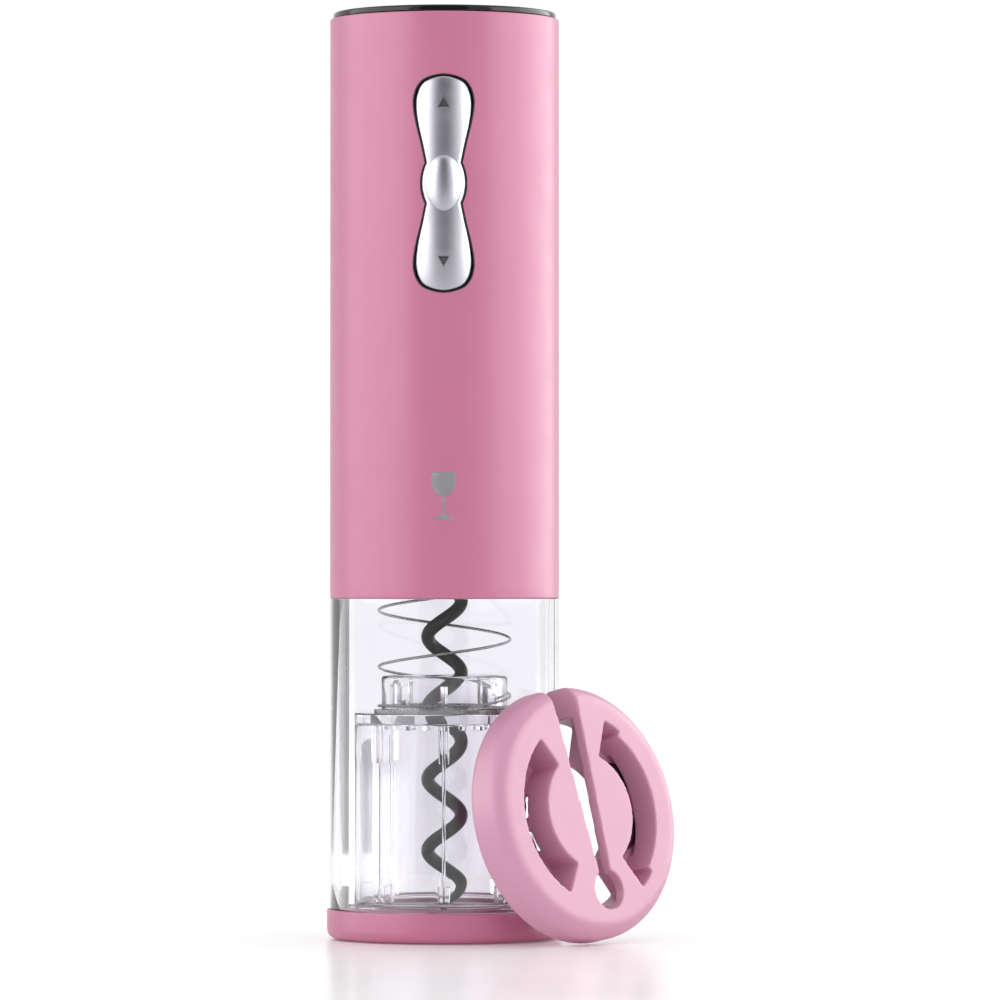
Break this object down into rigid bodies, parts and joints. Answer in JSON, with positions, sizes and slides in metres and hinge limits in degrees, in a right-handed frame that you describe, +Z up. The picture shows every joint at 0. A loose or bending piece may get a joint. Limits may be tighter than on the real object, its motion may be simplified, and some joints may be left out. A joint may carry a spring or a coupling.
{
  "type": "electric wine opener",
  "caption": "Cordless electric corkscrew in a tall tube, with clear lower sleeve, worm, spring-loaded cork carrier, rocker switch and a split-ring foil cutter leaning beside it.",
  "frame": {"origin": "on the opener's axis, in the plane of the base ring's lower face", "axes": "+Z up the opener's axis; -Y towards the rocker switch; +X to the right of a person facing the switch"},
  "size_m": [0.0787, 0.0706, 0.2101],
  "materials": {
    "pink_plastic": "satin soft-touch",
    "black_gloss": "gloss",
    "black_plastic": "matt moulded",
    "silver_plastic": "satin metallic coating",
    "clear_plastic": "clear polished",
    "steel": "machined",
    "spring_steel": "bright drawn wire",
    "black_coated_steel": "non-stick coating",
    "brass": "turned",
    "copper": "enamelled wire",
    "magnet": "sintered",
    "white_plastic": "moulded nylon",
    "circuit_board": "solder mask",
    "cell_wrap": "printed wrap, no lettering",
    "nickel": "nickel plated",
    "red_sleeving": "satin",
    "black_sleeving": "satin"
  },
  "bodies": {
    "opener": {"main_housing": "pink_plastic", "switch_bezel": "black_plastic", "switch_board": "circuit_board", "switch_cases": "black_plastic", "battery_holder": "black_plastic", "battery_1": "cell_wrap", "battery_2": "cell_wrap", "battery_3": "cell_wrap", "battery_4": "cell_wrap", "lower_contacts": "nickel", "motor_cage": "black_plastic", "motor_can": "steel", "motor_magnets": "magnet", "motor_end_bell": "white_plastic", "motor_plate": "steel", "ring_gear_housing": "black_plastic", "gearbox_end_plate": "black_plastic", "output_bush": "brass", "gearbox_screws": "steel", "motor_screws": "steel", "clear_sleeve": "clear_plastic", "bottle_guide": "clear_plastic", "base_ring": "pink_plastic", "lead_red": "red_sleeving", "lead_black": "black_sleeving"},
    "rocker": {"rocker_button": "silver_plastic", "rocker_boss": "silver_plastic", "rocker_pin": "steel"},
    "plunger_upper": {"plunger_upper": "white_plastic"},
    "plunger_lower": {"plunger_lower": "white_plastic"},
    "worm_drive": {"output_carrier": "steel", "worm_chuck": "steel", "chuck_screw": "steel", "worm": "black_coated_steel"},
    "input_stage": {"input_carrier": "steel", "sun_gear": "steel"},
    "rotor": {"rotor_core": "steel", "rotor_windings": "copper", "rotor_shaft": "steel", "motor_pinion": "brass"},
    "carrier": {"cork_carrier": "clear_plastic", "carrier_grips": "clear_plastic", "carrier_washer": "spring_steel", "carrier_spring": "spring_steel"},
    "cap": {"top_cap": "black_gloss", "cap_contacts": "nickel"},
    "cutter": {"cutter_right_arm": "pink_plastic", "cutter_right_pins": "steel"},
    "cutter_left": {"cutter_left_arm": "pink_plastic", "cutter_left_pins": "steel"},
    "planet_two_a": {"planet_two_a": "white_plastic"},
    "planet_two_b": {"planet_two_b": "white_plastic"},
    "planet_two_c": {"planet_two_c": "white_plastic"},
    "planet_one_a": {"planet_one_a": "white_plastic"},
    "planet_one_b": {"planet_one_b": "white_plastic"},
    "planet_one_c": {"planet_one_c": "white_plastic"},
    "cutter_wheel_1": {"cutter_wheel_1": "steel"},
    "cutter_wheel_2": {"cutter_wheel_2": "steel"},
    "cutter_wheel_3": {"cutter_wheel_3": "steel"},
    "cutter_wheel_4": {"cutter_wheel_4": "steel"}
  },
  "joints": [
    {"name": "rocker_tilt", "type": "hinge", "parent": "opener", "child": "rocker", "pos_m": [0, -0.022, 0.17], "axis": [1, 0, 0], "range_deg": [-2.5, 2.5], "stiffness_Nm_per_rad": 0.6},
    {"name": "plunger_upper_slide", "type": "slide", "parent": "opener", "child": "plunger_upper", "axis": [0, 1, 0], "range_m": [-0.00062, 0.00062]},
    {"name": "plunger_lower_slide", "type": "slide", "parent": "opener", "child": "plunger_lower", "axis": [0, 1, 0], "range_m": [-0.00062, 0.00062]},
    {"name": "worm_spin", "type": "hinge", "parent": "opener", "child": "worm_drive", "pos_m": [0, 0, 0.09], "axis": [0, 0, 1], "continuous": true},
    {"name": "input_spin", "type": "hinge", "parent": "opener", "child": "input_stage", "pos_m": [0, 0, 0.1], "axis": [0, 0, 1], "continuous": true},
    {"name": "rotor_spin", "type": "hinge", "parent": "opener", "child": "rotor", "pos_m": [0, 0, 0.12], "axis": [0, 0, 1], "continuous": true},
    {"name": "planet_two_a_spin", "type": "hinge", "parent": "worm_drive", "child": "planet_two_a", "pos_m": [0.0108, 0, 0.097], "axis": [0, 0, 1], "continuous": true},
    {"name": "planet_two_b_spin", "type": "hinge", "parent": "worm_drive", "child": "planet_two_b", "pos_m": [-0.0054, 0.00935, 0.097], "axis": [0, 0, 1], "continuous": true},
    {"name": "planet_two_c_spin", "type": "hinge", "parent": "worm_drive", "child": "planet_two_c", "pos_m": [-0.0054, -0.00935, 0.097], "axis": [0, 0, 1], "continuous": true},
    {"name": "planet_one_a_spin", "type": "hinge", "parent": "input_stage", "child": "planet_one_a", "pos_m": [0.0108, 0, 0.104], "axis": [0, 0, 1], "continuous": true},
    {"name": "planet_one_b_spin", "type": "hinge", "parent": "input_stage", "child": "planet_one_b", "pos_m": [-0.0054, 0.00935, 0.104], "axis": [0, 0, 1], "continuous": true},
    {"name": "planet_one_c_spin", "type": "hinge", "parent": "input_stage", "child": "planet_one_c", "pos_m": [-0.0054, -0.00935, 0.104], "axis": [0, 0, 1], "continuous": true},
    {"name": "carrier_slide", "type": "slide", "parent": "opener", "child": "carrier", "axis": [0, 0, 1], "range_m": [0, 0.017], "stiffness_N_per_m": 60, "springref_m": -0.003, "deforming": ["carrier_spring"]},
    {"name": "cap_lift", "type": "slide", "parent": "opener", "child": "cap", "axis": [0, 0, 1], "range_m": [0, 0.03]},
    {"name": "cutter_away", "type": "slide", "parent": "opener", "child": "cutter", "axis": [0.7071, -0.7071, 0], "range_m": [0, 0.08]},
    {"name": "cutter_squeeze", "type": "hinge", "parent": "cutter", "child": "cutter_left", "pos_m": [0.03475, -0.02279, 0.00702], "axis": [-0.6927, 0.6927, -0.2011], "range_deg": [0, 4], "stiffness_Nm_per_rad": 0.8},
    {"name": "cutter_wheel_1_spin", "type": "hinge", "parent": "cutter", "child": "cutter_wheel_1", "pos_m": [0.03779, -0.00739, 0.03542], "axis": [0.6927, -0.6927, 0.2011], "continuous": true},
    {"name": "cutter_wheel_2_spin", "type": "hinge", "parent": "cutter", "child": "cutter_wheel_2", "pos_m": [0.04023, -0.00798, 0.02497], "axis": [0.6927, -0.6927, 0.2011], "continuous": true},
    {"name": "cutter_wheel_3_spin", "type": "hinge", "parent": "cutter_left", "child": "cutter_wheel_3", "pos_m": [0.01758, -0.03178, 0.02102], "axis": [0.6927, -0.6927, 0.2011], "continuous": true},
    {"name": "cutter_wheel_4_spin", "type": "hinge", "parent": "cutter_left", "child": "cutter_wheel_4", "pos_m": [0.01514, -0.03119, 0.03147], "axis": [0.6927, -0.6927, 0.2011], "continuous": true}
  ],
  "couplings": [
    {"joint": "plunger_upper_slide", "follows": "rocker_tilt", "m_per_rad": -0.014},
    {"joint": "plunger_lower_slide", "follows": "rocker_tilt", "m_per_rad": 0.014},
    {"joint": "input_spin", "follows": "worm_spin", "ratio": 4.5},
    {"joint": "rotor_spin", "follows": "worm_spin", "ratio": 20.25},
    {"joint": "planet_two_a_spin", "follows": "worm_spin", "ratio": -2.8},
    {"joint": "planet_two_b_spin", "follows": "worm_spin", "ratio": -2.8},
    {"joint": "planet_two_c_spin", "follows": "worm_spin", "ratio": -2.8},
    {"joint": "planet_one_a_spin", "follows": "worm_spin", "ratio": -12.6},
    {"joint": "planet_one_b_spin", "follows": "worm_spin", "ratio": -12.6},
    {"joint": "planet_one_c_spin", "follows": "worm_spin", "ratio": -12.6}
  ]
}
